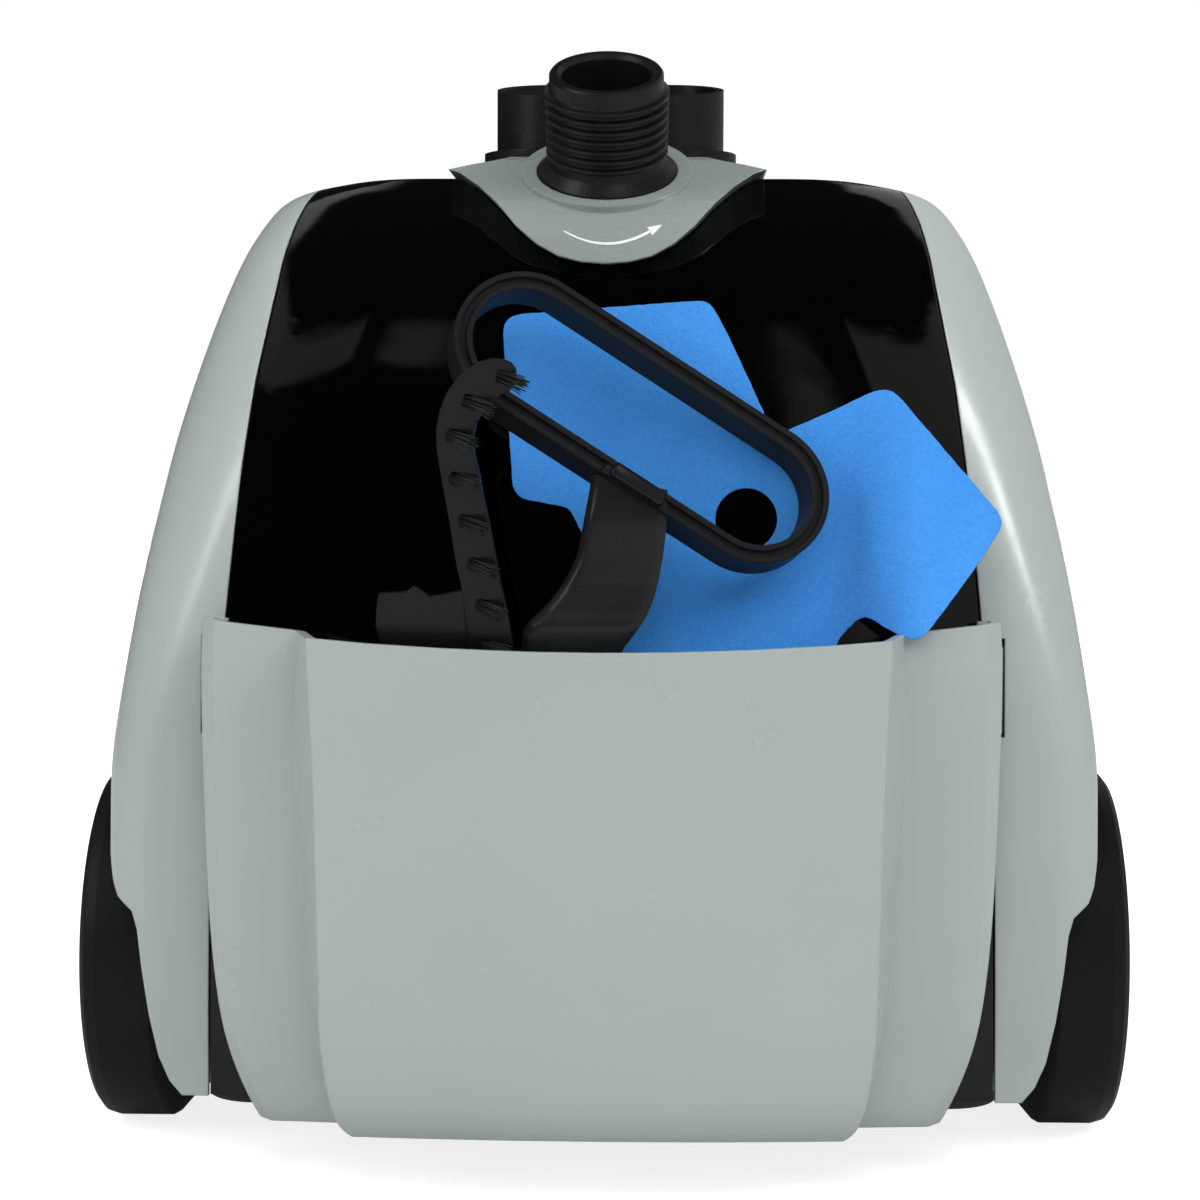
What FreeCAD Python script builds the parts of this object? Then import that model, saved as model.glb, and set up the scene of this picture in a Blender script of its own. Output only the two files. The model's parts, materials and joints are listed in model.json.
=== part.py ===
import FreeCAD, Part
import os, math
os.makedirs("parts", exist_ok=True)
V = FreeCAD.Vector

# ---------------------------------------------------------------- dimensions (mm)
WALL = 2.6               # housing wall
GAP = 0.35               # half of the seam between two housing panels
WHEEL_R = 57.5           # big side wheels
WHEEL_OUT = 163.4        # outer face of a wheel from the mid-plane
FLOOR = -3.0             # floor height in the building frame
AXLE_Z = WHEEL_R + FLOOR
SHIFT = V(0.0, -15.6, 3.0)    # building frame to the part's frame
WHEEL_TREAD_IN = 140.5   # inner edge of the flat tread
WHEEL_IN = 131.0         # inner face
WHEEL_CHAMFER = 8.0
ARCH_R = 62.0            # wheel arch radius
ARCH_X = 127.5           # inner wall of the wheel arch
AXLE_R = 5.0
AXLE_FIT = 0.05
HUB_R = 13.0
PORT_TILT = 30.0         # steam port leans to the pocket side
PORT_O = (0.0, -20.5, 303.6)   # port axis meets the raised ring here
PORT_LIP_R = 17.8
PORT_THREAD_R = 19.2
PORT_ROOT_R = 17.9
PORT_SKIRT_R = 21.9
PORT_BORE_R = 14.0
PORT_TOP = 34.0
RING_HOLE_R = 22.3
COLLAR_Y = 27.5          # pole collar centre
COLLAR_HALF_X = 37.8
COLLAR_HALF_Y = 18.5
POLE_R = 12.6            # bore for each of the two poles
POLE_X = 17.0
PLATEAU = 309.0
BIN_WALL = 2.6
BASE_Z = 17.0            # underside of the base plate
BASE_T = 3.0
FEET = ((32.67, -42.67), (-32.67, -42.67), (0.0, 36.2))   # boiler feet

# ---------------------------------------------------------------- helpers
def box(x0, y0, z0, x1, y1, z1):
    return Part.makeBox(x1 - x0, y1 - y0, z1 - z0, V(x0, y0, z0))

def cyl(r, h, p, d=(0, 0, 1)):
    return Part.makeCylinder(r, h, V(*p), V(*d))

def fuse(a, *more):
    for m in more:
        a = a.fuse(m)
    return a.removeSplitter()

def mirror_x(s):
    return s.mirror(V(0, 0, 0), V(1, 0, 0))

def solids(s):
    out = [x for x in s.Solids if x.Volume > 1.0]
    return out

def save(name, shape, keep=None):
    ss = solids(shape)
    if keep:
        ss = sorted(ss, key=lambda q: -q.Volume)[:keep]
    s = ss[0] if len(ss) == 1 else Part.makeCompound(ss)
    s = s.copy()
    s.translate(SHIFT)
    b = s.BoundBox
    print("%-18s n=%d vol=%9.1f valid=%s  x %.1f %.1f y %.1f %.1f z %.1f %.1f" % (
        name, len(ss), s.Volume, s.isValid(), b.XMin, b.XMax, b.YMin, b.YMax, b.ZMin, b.ZMax))
    s.exportStep("parts/%s.step" % name)
    return s

def lerp_table(tab, z):
    if z <= tab[0][0]:
        return list(tab[0][1:])
    for a, b in zip(tab, tab[1:]):
        if z <= b[0]:
            t = (z - a[0]) / (b[0] - a[0])
            return [p + (q - p) * t for p, q in zip(a[1:], b[1:])]
    return list(tab[-1][1:])

def xz_prism(points, y0, y1, smooth=False):
    """region of the X-Z plane swept along Y"""
    pts = [V(x, y0, z) for x, z in points]
    if smooth:
        c = Part.BSplineCurve()
        c.interpolate(Points=pts)
        w = Part.Wire([c.toShape(), Part.makeLine(pts[-1], pts[0])])
    else:
        w = Part.makePolygon(pts + [pts[0]])
    return Part.Face(w).extrude(V(0, y1 - y0, 0))

def yz_prism(points, x0, x1):
    pts = [V(x0, y, z) for y, z in points]
    return Part.Face(Part.makePolygon(pts + [pts[0]])).extrude(V(x1 - x0, 0, 0))

def stadium(hx, hy, z0, z1, cx=0.0, cy=0.0):
    """solid with a stadium plan: half length hx along X, half width hy"""
    a = hx - hy
    s = box(cx - a, cy - hy, z0, cx + a, cy + hy, z1)
    return fuse(s, cyl(hy, z1 - z0, (cx - a, cy, z0)), cyl(hy, z1 - z0, (cx + a, cy, z0)))

def tube_path(points, r, rin=None):
    """round rod or hose along a polyline with ball joints"""
    def rod(rr):
        s = None
        for p, q in zip(points, points[1:]):
            a, b = V(*p), V(*q)
            c = Part.makeCylinder(rr, (b - a).Length, a, b - a)
            s = c if s is None else s.fuse(c)
        for p in points[1:-1]:
            s = s.fuse(Part.makeSphere(rr, V(*p)))
        return s
    s = rod(r)
    if rin:
        s = s.cut(rod(rin))
    return s.removeSplitter()

# ---------------------------------------------------------------- housing envelope
# height, half width, front, rear, front corner radius, rear corner radius, front bulge
ENV = [
    (20.0, 146.8, -72.0, 148.0, 14.0, 34.0, 3.0),
    (60.0, 149.8, -74.0, 150.5, 14.0, 36.0, 3.0),
    (95.0, 150.9, -74.5, 151.0, 15.0, 38.0, 3.0),
    (121.0, 150.8, -74.0, 150.0, 18.0, 40.0, 3.0),
    (144.0, 148.4, -73.0, 148.0, 23.0, 42.0, 3.0),
    (163.0, 146.1, -71.5, 145.0, 28.0, 42.0, 3.2),
    (181.5, 143.3, -69.5, 141.0, 33.0, 42.0, 3.4),
    (200.5, 139.7, -67.0, 136.0, 37.0, 42.0, 3.6),
    (219.5, 136.0, -63.5, 130.0, 41.0, 42.0, 3.8),
    (238.5, 131.2, -58.5, 122.0, 44.0, 42.0, 4.0),
    (253.0, 127.2, -53.5, 114.0, 46.0, 42.0, 4.0),
    (267.5, 122.7, -47.0, 104.5, 47.0, 41.0, 3.8),
    (279.0, 118.6, -38.5, 95.0, 46.0, 40.0, 3.2),
    (287.0, 114.9, -29.0, 88.0, 43.0, 38.0, 2.6),
    (292.5, 111.7, -20.5, 82.0, 39.0, 35.0, 2.0),
    (297.0, 107.6, -13.0, 77.0, 34.0, 31.0, 1.5),
    (300.5, 100.6, -6.5, 72.0, 29.0, 27.0, 1.0),
    (302.6, 91.5, -2.6, 68.5, 25.0, 24.0, 0.7),
    (304.1, 81.0, 1.0, 65.0, 22.0, 22.0, 0.5),
]

def section_points(z, W, yf, yr, rf, rr, bf):
    right = []
    for s in (0.0, 0.3, 0.6, 0.85):
        right.append((s * (W - rf), yf))
    for k in range(0, 7):
        a = math.radians(15.0 * k)
        right.append((W - rf + rf * math.sin(a), yf + rf - rf * math.cos(a)))
    ys, ye = yf + rf, yr - rr
    for s in (0.08, 0.24, 0.5, 0.76, 0.92):
        right.append((W, ys + s * (ye - ys)))
    for k in range(0, 7):
        a = math.radians(15.0 * k)
        right.append((W - rr + rr * math.cos(a), ye + rr * math.sin(a)))
    for s in (0.85, 0.6, 0.3, 0.0):
        right.append((s * (W - rr), yr))
    pts = []
    for x, y in right:
        if y < yf + rf:
            y -= bf * (1.0 - (x / W) ** 2)
        pts.append((x, y))
    left = [(-x, y) for x, y in reversed(pts[1:-1])]
    return [V(x, y, z) for x, y in pts + left]

def even_rows(zs):
    """resample the table at given heights with a monotone cubic"""
    def slopes(col):
        z = [q[0] for q in ENV]
        y = [q[col] for q in ENV]
        d = [(y[i + 1] - y[i]) / (z[i + 1] - z[i]) for i in range(len(z) - 1)]
        m = [d[0]] + [0.0 if d[i - 1] * d[i] <= 0 else 2 * d[i - 1] * d[i] / (d[i - 1] + d[i]) for i in range(1, len(d))] + [d[-1]]
        return z, y, m
    cols = [slopes(c) for c in range(1, 7)]
    rows = []
    for t in zs:
        k = max(i for i in range(len(ENV) - 1) if ENV[i][0] <= t)
        row = [t]
        for z, y, m in cols:
            h = z[k + 1] - z[k]
            u = (t - z[k]) / h
            row.append((1 + 2 * u) * (1 - u) ** 2 * y[k] + u * (1 - u) ** 2 * h * m[k] + u * u * (3 - 2 * u) * y[k + 1] + u * u * (u - 1) * h * m[k + 1])
        rows.append(tuple(row))
    return rows

ROWS = even_rows([20.0, 37.0, 54.0, 71.0, 88.0, 105.0, 121.0, 137.0, 153.0, 169.0, 185.0, 201.0, 216.0, 230.0, 243.0, 254.5, 264.5, 273.0, 280.0, 286.0, 291.0, 295.2, 298.4, 300.8, 302.6, 304.1])

def envelope(inset, zlo=None):
    wires = []
    ref = None
    for row in ROWS:
        z, W, yf, yr, rf, rr, bf = row
        if inset:
            z = z - inset
            W, yf, yr = W - inset, yf + inset, yr - inset
            rf, rr = max(rf - inset, 3.0), max(rr - inset, 3.0)
        pts = section_points(z, W, yf, yr, rf, rr, bf)
        if ref is None:
            loop = section_points(0, 125, -48, 109, 25, 34, 2.5)
            d = [0.0]
            for a, b in zip(loop, loop[1:] + loop[:1]):
                d.append(d[-1] + (b - a).Length)
            ref = d
        c = Part.BSplineCurve()
        c.interpolate(Points=pts, Parameters=ref, PeriodicFlag=True)
        wires.append(Part.Wire([c.toShape()]))
    return Part.makeLoft(wires, True, False)

ENV_BOTTOM = ENV[0][0]
outer = envelope(0.0)
inner = envelope(WALL)
print("envelope", outer.isValid(), outer.Volume, inner.isValid(), inner.Volume)

# lower flank: the sides step inwards under the fender
def flank(off):
    p = [(200, 5), (127.2 - off, 5), (127.2 - off, 20.0), (131.0 - off, 24.5), (134.2 - off, 32.0),
         (137.0 - off, 45.0), (139.2 - off, 60.0), (140.4 - off, 71.0), (142.0 - off, 76.5 + off),
         (144.4 - off, 78.4 + off), (147.0 - off, 80.4 + off), (149.0 - off, 85.0 + off),
         (150.4 - off, 92.0 + off), (153.0, 97.0 + off), (200, 97.0 + off)]
    a = xz_prism(p, -120, 200)
    return a.fuse(mirror_x(a))
outer2 = outer.cut(flank(0.0))
inner2 = inner.cut(flank(WALL))
wall = outer2.cut(inner2)
wall = wall.cut(box(-200, -200, 0, 200, 200, ENV_BOTTOM - 0.01))

# ---------------------------------------------------------------- panel split lines
# half width of the band between the side shells (front panel, rear cover)
BAND = [(10.0, 119.0), (100.0, 117.4), (164.0, 113.2), (213.0, 108.8), (237.0, 106.2),
        (251.0, 104.0), (266.5, 101.8), (276.0, 100.8), (288.0, 99.0), (295.0, 97.2), (300.5, 95.0), (315.0, 90.0)]

def band(off, y0, y1):
    r = [(x + off, z) for z, x in BAND]
    l = [(-x, z) for x, z in reversed(r)]
    return xz_prism(r + l, y0, y1)

# yoke outline
YOKE = [(52.5, 305.6), (46.8, 303.4), (40.2, 298.4), (34.0, 292.2), (27.8, 284.8), (21.6, 279.2),
        (14.6, 275.2), (7.6, 273.4), (0.0, 272.7)]

def yoke_region(off, y0, y1):
    r = [(53.5 + off, 330.0), (53.5 + off, 306.8)] + [(x + off * 0.75, z - off * 0.75) for x, z in YOKE[:-1]]
    c = [(0.0, 272.7 - off)]
    l = [(-x, z) for x, z in reversed(r)]
    return xz_prism(r + c + l, y0, y1)

AX = math.sin(math.radians(PORT_TILT))
AZ = math.cos(math.radians(PORT_TILT))
port_dir = V(0, -AX, AZ)
port_o = V(*PORT_O)

def on_port(r, a, b):
    """cylinder on the port axis from a to b (distance above the ring plane)"""
    return Part.makeCylinder(r, b - a, port_o + port_dir * a, port_dir)

# raised yoke body: side profile swept across
yoke_prof = [(-50.6, 262.0), (-51.2, 268.0), (-50.8, 274.0), (-48.6, 281.5), (-44.5, 288.2), (-38.0, 293.6),
             (-10.0, 309.0), (-4.0, 310.6), (4.0, PLATEAU), (58.0, PLATEAU), (66.0, 304.0), (66.0, 262.0)]
yoke_block = yz_prism(yoke_prof, -80, 80)
top_split = 66.0      # everything behind this line belongs to the rear
inner_solid = inner2
yoke = yoke_block.common(yoke_region(-GAP, -60, 64.0)).cut(inner_solid)
# the raised side flanks of the yoke follow the housing's crown: trim what stands over it beyond the plateau
crown = [(80.0, 301.0), (66.0, 303.0), (53.0, 304.6), (43.5, 307.2), (36.0, PLATEAU - 0.1), (28.0, 312.0), (-28.0, 312.0),
         (-36.0, PLATEAU - 0.1), (-43.5, 307.2), (-53.0, 304.6), (-66.0, 303.0), (-80.0, 301.0), (-80.0, 250.0), (80.0, 250.0)]
yoke = yoke.common(xz_prism(crown, -70, 80))
yoke = yoke.fuse(stadium(42.4, 21.8, 303.0, PLATEAU, 0.0, COLLAR_Y))
# raised ring round the port
yoke = yoke.fuse(on_port(27.2, -9.0, 1.2))
yoke = yoke.cut(inner_solid)
yoke = yoke.cut(on_port(RING_HOLE_R, -40.0, 20.0))
# opening for the pole socket
yoke = yoke.cut(stadium(33.6, 15.0, 280, 330, 0.0, COLLAR_Y))
yoke = yoke.cut(stadium(42.4, 21.8, PLATEAU, 330, 0.0, COLLAR_Y))

yoke_cut = yoke_region(GAP, -62, 64.0 + GAP)
front_cut = band(-GAP, -200, top_split - GAP)
panel = wall.common(front_cut).common(box(-200, -200, 20.5, 200, top_split - GAP, 320)).cut(yoke_cut)
panel = panel.cut(on_port(28.2, -20, 20))
# front panel keeps only the front and the crown, not the inner side
panel = panel.common(box(-130, -200, 20.5, 130, top_split - GAP, 320))

# side shells: everything outside the band
side_all = wall.cut(band(GAP, -200, 200))
right = side_all.common(box(0.0, -200, ENV_BOTTOM - 0.01, 220, 200, 330))

# wheel arch liner
arch_out = cyl(ARCH_R + 2.4, 60.0, (ARCH_X - 2.4, 0, AXLE_Z), (1, 0, 0)).common(outer2)
arch_in = cyl(ARCH_R, 80.0, (ARCH_X, 0, AXLE_Z), (1, 0, 0))
right = right.fuse(arch_out).cut(arch_in)
right = right.cut(cyl(6.5, 30.0, (ARCH_X - 15, 0, AXLE_Z), (1, 0, 0)))
right = right.cut(box(0, -200, 0, 220, 200, ENV_BOTTOM))
# bosses for the base screws
SCREWS = [(116.5, -58.0), (116.5, 100.0)]
for sx, sy in SCREWS:
    b = cyl(4.6, 20.0, (sx, sy, ENV_BOTTOM + 0.6)).fuse(box(sx, sy - 1.2, ENV_BOTTOM + 0.6, sx + 11.0, sy + 1.2, ENV_BOTTOM + 20.6))
    b = b.common(outer2)
    right = right.fuse(b)
    right = right.cut(cyl(1.62, 16.0, (sx, sy, ENV_BOTTOM - 1)))
# slot that takes the hook of the accessory bin
SLOT_X0, SLOT_X1, SLOT_Z0, SLOT_Z1 = 116.2, 120.4, 131.0, 160.5
right = right.cut(box(SLOT_X0, -100, SLOT_Z0, SLOT_X1, -40, SLOT_Z1))
right = right.removeSplitter()

# ---------------------------------------------------------------- base
base = box(-121.5, -69.0, BASE_Z, 121.5, 140.0, BASE_Z + BASE_T)
base = base.makeFillet(16.0, [e for e in base.Edges if abs(e.Vertexes[0].Z - e.Vertexes[-1].Z) > 1])
TOWER_X0, TOWER_X1 = 99.0, 122.0
for sg in (1, -1):
    x0, x1 = sorted((sg * TOWER_X0, sg * TOWER_X1))
    t = box(x0, -13.0, BASE_Z, x1, 13.0, 60.0).fuse(cyl(13.0, TOWER_X1 - TOWER_X0, (x0, 0, AXLE_Z), (1, 0, 0)))
    t = t.fuse(box(x0, -13.0, BASE_Z, x1, 13.0, AXLE_Z))
    base = base.fuse(t)
for sg in (1, -1):
    x0 = 88.0 if sg > 0 else -140.0
    base = base.cut(cyl(AXLE_R + 0.02, 52.0, (x0, 0, AXLE_Z), (1, 0, 0)))
# caster cups
CAST_X, CAST_Y = 72.0, 112.0
for sg in (1, -1):
    base = base.fuse(cyl(27.0, 29.0, (sg * CAST_X, CAST_Y, BASE_Z)))
for sg in (1, -1):
    base = base.fuse(cyl(9.0, 22.0, (sg * CAST_X, CAST_Y, 44.0)))
    base = base.cut(cyl(24.6, 27.0, (sg * CAST_X, CAST_Y, BASE_Z - 1.0)))
    base = base.cut(cyl(4.05, 40.0, (sg * CAST_X, CAST_Y, 30.0)))
# drain opening, element air slots, screw holes
base = base.cut(cyl(10.4, 12.0, (0, -10.0, 10.0)))
for k in range(-2, 3):
    base = base.cut(box(-22.0, 52.0 + 7 * k, 10.0, 22.0, 55.0 + 7 * k, 24.0))
for sx, sy in SCREWS:
    for sg in (1, -1):
        base = base.cut(cyl(1.9, 12.0, (sg * sx, sy, 10.0)))
        base = base.cut(cyl(3.8, 3.3, (sg * sx, sy, BASE_Z - 2.0)))
# rear rest for the pole socket and boiler pads
for px, py in FEET:
    base = base.fuse(cyl(5.0, 5.0, (px, py, BASE_Z + BASE_T)))
    base = base.cut(cyl(1.62, 7.5, (px, py, BASE_Z + 1.2)))
base = base.removeSplitter()

# ---------------------------------------------------------------- rear cover and tank
TANK_X, TANK_Y0, TANK_Z0, TANK_Z1 = 79.0, 68.5, 74.0, 330.0
rear_block = outer2.common(band(-GAP, top_split, 200)).common(box(-200, top_split, ENV_BOTTOM, 200, 200, 330))
rear_cut_tank = box(-TANK_X - 0.6, TANK_Y0 - 0.6, TANK_Z0 - 0.6, TANK_X + 0.6, 220, 330)
# shelf, bulkhead and cheeks round the tank bay stay, the rest of the inside is hollow
hollow = inner2.cut(box(-TANK_X - 3.2, top_split - 5.0, 66.0, TANK_X + 3.2, 200, 330))
rear = rear_block.cut(hollow).cut(rear_cut_tank).cut(yoke_cut)
VALVE_Y = 98.0
rear = rear.cut(cyl(15.0, 30.0, (0, VALVE_Y, 50.0)))
rear = rear.cut(cyl(17.8, 10.0, (0, VALVE_Y, 70.6)))
# foot switch opening, lens opening and cord inlet
SW_Z = 44.0
rear = rear.cut(cyl(13.08, 40.0, (0, 125.0, SW_Z), (0, 1, 0)))
rear = rear.cut(cyl(3.05, 40.0, (26.0, 125.0, SW_Z), (0, 1, 0)))
GL_X, GL_Z = -36.0, 40.0
rear = rear.cut(cyl(8.05, 40.0, (GL_X, 125.0, GL_Z), (0, 1, 0)))
rear = rear.cut(box(-200, -200, 0, 200, 200, ENV_BOTTOM + 0.5))
rear = rear.removeSplitter()

tank_out = box(-TANK_X, TANK_Y0, TANK_Z0, TANK_X, 220, TANK_Z1).common(outer2)
tank_in = box(-TANK_X + 2.4, TANK_Y0 + 2.4, TANK_Z0 + 2.4, TANK_X - 2.4, 220, TANK_Z1 - 2.4).common(inner2)
tank = tank_out.cut(tank_in)
tank = tank.fuse(cyl(15.5, 8.0, (0, VALVE_Y, TANK_Z0 - 0.0)).common(tank_out))
tank = tank.cut(cyl(11.05, 20.0, (0, VALVE_Y, TANK_Z0 - 2)))
# finger recess at the top rear of the tank
grip = box(-34.0, 84.0, 262.0, 34.0, 140.0, 274.0)
tank = tank.fuse(box(-37.0, 72.0, 259.4, 37.0, 140.0, 276.6).common(tank_out))
tank = tank.cut(grip)
tank = tank.cut(tank_in.cut(box(-37.0, 72.0, 259.4, 37.0, 140.0, 276.6)).cut(cyl(15.5, 8.0, (0, VALVE_Y, TANK_Z0))))
tank = tank.removeSplitter()
# screw-in valve cap under the tank
tank_cap = fuse(cyl(11.0, 9.0, (0, VALVE_Y, TANK_Z0 - 0.4)), cyl(13.6, 4.6, (0, VALVE_Y, TANK_Z0 - 5.0)))
tank_cap = tank_cap.cut(cyl(3.05, 30.0, (0, VALVE_Y, TANK_Z0 - 10)))
for k in range(4):
    a = math.radians(45 + 90 * k)
    tank_cap = tank_cap.cut(cyl(1.8, 30.0, (7.0 * math.cos(a), VALVE_Y + 7.0 * math.sin(a), TANK_Z0 - 10)))
valve_pin = fuse(cyl(3.0, 17.0, (0, VALVE_Y, TANK_Z0 - 5.8)), cyl(9.6, 2.2, (0, VALVE_Y, TANK_Z0 + 9.0)))

# inlet cup under the shelf, receives the valve
cup = cyl(18.0, 3.0, (0, VALVE_Y, 63.0 - 0.1)).fuse(cyl(16.4, 22.0, (0, VALVE_Y, 41.0)))
cup = cup.cut(cyl(14.2, 30.0, (0, VALVE_Y, 44.0)))
cup = fuse(cup, cyl(2.2, 25.0, (0, VALVE_Y, 43.0)))
cup = fuse(cup, cyl(4.5, 12.0, (0, VALVE_Y - 15.0, 46.5), (0, -1, 0)).cut(cyl(14.2, 40, (0, VALVE_Y, 30))))
cup = cup.cut(cyl(2.8, 20.0, (0, VALVE_Y - 10.0, 46.5), (0, -1, 0)))
tank_seal = cyl(17.6, 2.6, (0, VALVE_Y, 70.7)).cut(cyl(15.2, 10.0, (0, VALVE_Y, 66.0)))

# ---------------------------------------------------------------- boiler
BY = -10.0
boiler = cyl(42.0, 48.0, (0, BY, 36.0)).cut(cyl(38.5, 46.0, (0, BY, 39.5)))
boiler = boiler.fuse(cyl(9.6, 18.0, (0, BY, 20.2))).fuse(cyl(47.0, 3.0, (0, BY, 81.0)).cut(cyl(40, 3, (0, BY, 81.0))))
boiler = boiler.cut(cyl(6.05, 30.0, (0, BY, 18.0)))
for px, py in FEET:
    leg = cyl(5.0, 16.0, (px, py, 25.05))
    boiler = boiler.fuse(leg)
    boiler = boiler.cut(cyl(1.9, 30.0, (px, py, 20.0)))
boiler = boiler.fuse(cyl(42.0, 5.0, (0, BY, 36.0)).cut(cyl(38.5, 6.0, (0, BY, 39.5))).cut(cyl(6.05, 30, (0, BY, 18))))
boiler = boiler.fuse(cyl(4.6, 14.0, (0, BY + 40.0, 50.0), (0, 1, 0)))
boiler = boiler.cut(cyl(2.8, 30.0, (0, BY + 30.0, 50.0), (0, 1, 0)))
boiler = boiler.removeSplitter()
gasket = cyl(46.8, 1.4, (0, BY, 84.05)).cut(cyl(39.5, 3.0, (0, BY, 83.5)))
lid = cyl(47.0, 3.4, (0, BY, 85.5)).fuse(cyl(36.0, 7.0, (0, BY, 86.0))).fuse(cyl(10.0, 14.0, (0, BY, 92.0)))
lid = lid.cut(cyl(34.0, 5.0, (0, BY, 84.0))).cut(cyl(7.0, 40.0, (0, BY, 80.0)))
LS = []
for k in range(6):
    a = math.radians(30 + 60 * k)
    LS.append((43.4 * math.cos(a), BY + 43.4 * math.sin(a)))
lid_screws = []
for x, y in LS:
    lid = lid.cut(cyl(1.7, 12.0, (x, y, 80.0)))
    gasket = gasket.cut(cyl(1.7, 12.0, (x, y, 80.0)))
    boiler = boiler.cut(cyl(1.62, 12.0, (x, y, 78.0)))
    lid_screws.append(fuse(cyl(1.6, 9.5, (x, y, 79.6)), cyl(2.9, 2.0, (x, y, 89.0))))
lid = lid.removeSplitter()
element = Part.makeTorus(26.0, 3.6, V(0, BY, 32.0), V(0, 0, 1), -180, 180, 300)
element.rotate(V(0, BY, 32.0), V(0, 0, 1), 120)
ends = []
for a in (120.0, 120.0 + 300.0):
    t = math.radians(a)
    e = V(26.0 * math.cos(t), BY + 26.0 * math.sin(t), 32.0)
    ends.append(Part.makeSphere(3.6, e))
element = fuse(element, *ends)
thermostat = fuse(cyl(9.0, 7.0, (20.0, BY + 14.0, 93.1)), cyl(11.5, 1.2, (20.0, BY + 14.0, 93.1)), cyl(5.0, 4.0, (20.0, BY + 14.0, 100.0)))
fuse_link = fuse(box(-28.0, BY + 8.0, 93.1, -14.0, BY + 18.0, 94.6), cyl(3.2, 18.0, (-30.0, BY + 13.0, 97.6), (1, 0, 0)))
drain_plug = fuse(cyl(6.0, 17.0, (0, BY, 15.0)), cyl(9.6, 5.0, (0, BY, 11.5)))
for k in range(8):
    a = math.radians(45 * k)
    drain_plug = drain_plug.cut(cyl(1.6, 6.0, (9.9 * math.cos(a), BY + 9.9 * math.sin(a), 11.0)))
drain_plug = drain_plug.cut(box(-6, BY - 1.2, 11.0, 6, BY + 1.2, 13.6))

# feed hose from the inlet cup to the boiler, steam riser from the lid to the port
feed = tube_path([(0, VALVE_Y - 27.2, 46.5), (0, 62.0, 46.5), (0, 54.0, 50.0), (0, BY + 54.2, 50.0)], 4.4, 2.9)
port_foot = port_o + port_dir * (-13.2)
riser = tube_path([(0, BY, 106.2), (0, BY, 262.0), tuple(port_o + port_dir * -30.0), tuple(port_foot)], 9.4, 7.2)

# ---------------------------------------------------------------- steam port
port = on_port(PORT_ROOT_R, 0.0, PORT_TOP)
prof = [V(PORT_ROOT_R - 3.0, 0, -12.0), V(17.0, 0, -12.0), V(17.0, 0, -4.0), V(PORT_SKIRT_R, 0, -4.0), V(PORT_SKIRT_R, 0, 1.6), V(18.6, 0, 4.6), V(PORT_ROOT_R, 0, 6.2)]
z = 6.2
while z + 3.2 < PORT_TOP - 4.0:
    grow = 0.15 * (z - 6.2) / 24.0
    prof += [V(PORT_ROOT_R + grow, 0, z + 0.9), V(PORT_THREAD_R + grow * 3, 0, z + 1.6), V(PORT_THREAD_R + grow * 3, 0, z + 2.4), V(PORT_ROOT_R + grow, 0, z + 3.1)]
    z += 3.2
prof += [V(PORT_ROOT_R, 0, z + 0.2), V(PORT_LIP_R, 0, PORT_TOP - 0.8), V(PORT_LIP_R - 0.6, 0, PORT_TOP), V(PORT_BORE_R + 1.2, 0, PORT_TOP), V(PORT_BORE_R, 0, PORT_TOP - 1.4),
         V(PORT_BORE_R, 0, 4.0), V(7.2, 0, 0.0), V(7.2, 0, -12.0)]
prof.append(prof[0])
f = Part.Face(Part.makePolygon(prof))
port = f.revolve(V(0, 0, 0), V(0, 0, 1), 360)
rot = FreeCAD.Rotation(V(0, 0, 1), port_dir)
port.Placement = FreeCAD.Placement(port_o, rot)
port_seal = on_port(21.6, -5.6, -4.2).cut(on_port(17.3, -6.0, -4.0))
# steam port retaining nut under the yoke
port_nut = on_port(20.6, -12.0, -8.0).cut(on_port(17.05, -13.0, -7.0))

# ---------------------------------------------------------------- pole collar and socket
cut_hi = Part.Face(Part.makePolygon([V(-60, COLLAR_Y - 40, 327.0), V(-60, COLLAR_Y + 40, 345.5), V(-60, COLLAR_Y + 40, 370), V(-60, COLLAR_Y - 40, 370), V(-60, COLLAR_Y - 40, 327.0)])).extrude(V(120, 0, 0))
collar = stadium(COLLAR_HALF_X, COLLAR_HALF_Y, PLATEAU + 0.05, 350, 0, COLLAR_Y).cut(stadium(COLLAR_HALF_X - 2.4, COLLAR_HALF_Y - 2.4, PLATEAU + 2.6, 360, 0, COLLAR_Y)).cut(cut_hi)
collar = collar.fuse(stadium(42.0, 21.4, PLATEAU + 0.05, PLATEAU + 5.6, 0, COLLAR_Y).cut(stadium(36.0, 17.0, 300, 340, 0, COLLAR_Y)))
# floor of the collar with two pole holes
for sg in (1, -1):
    collar = collar.cut(cyl(POLE_R + 0.3, 40.0, (sg * POLE_X, COLLAR_Y, PLATEAU - 20)))
collar = collar.removeSplitter()
SOCK_TOP, SOCK_LEN = PLATEAU - 0.2, 74.0
socket = stadium(33.0, 14.6, SOCK_TOP - SOCK_LEN - 3.0, SOCK_TOP, 0, COLLAR_Y)
for sg in (1, -1):
    socket = socket.cut(cyl(POLE_R, SOCK_LEN + 10, (sg * POLE_X, COLLAR_Y, SOCK_TOP - SOCK_LEN)))

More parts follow.
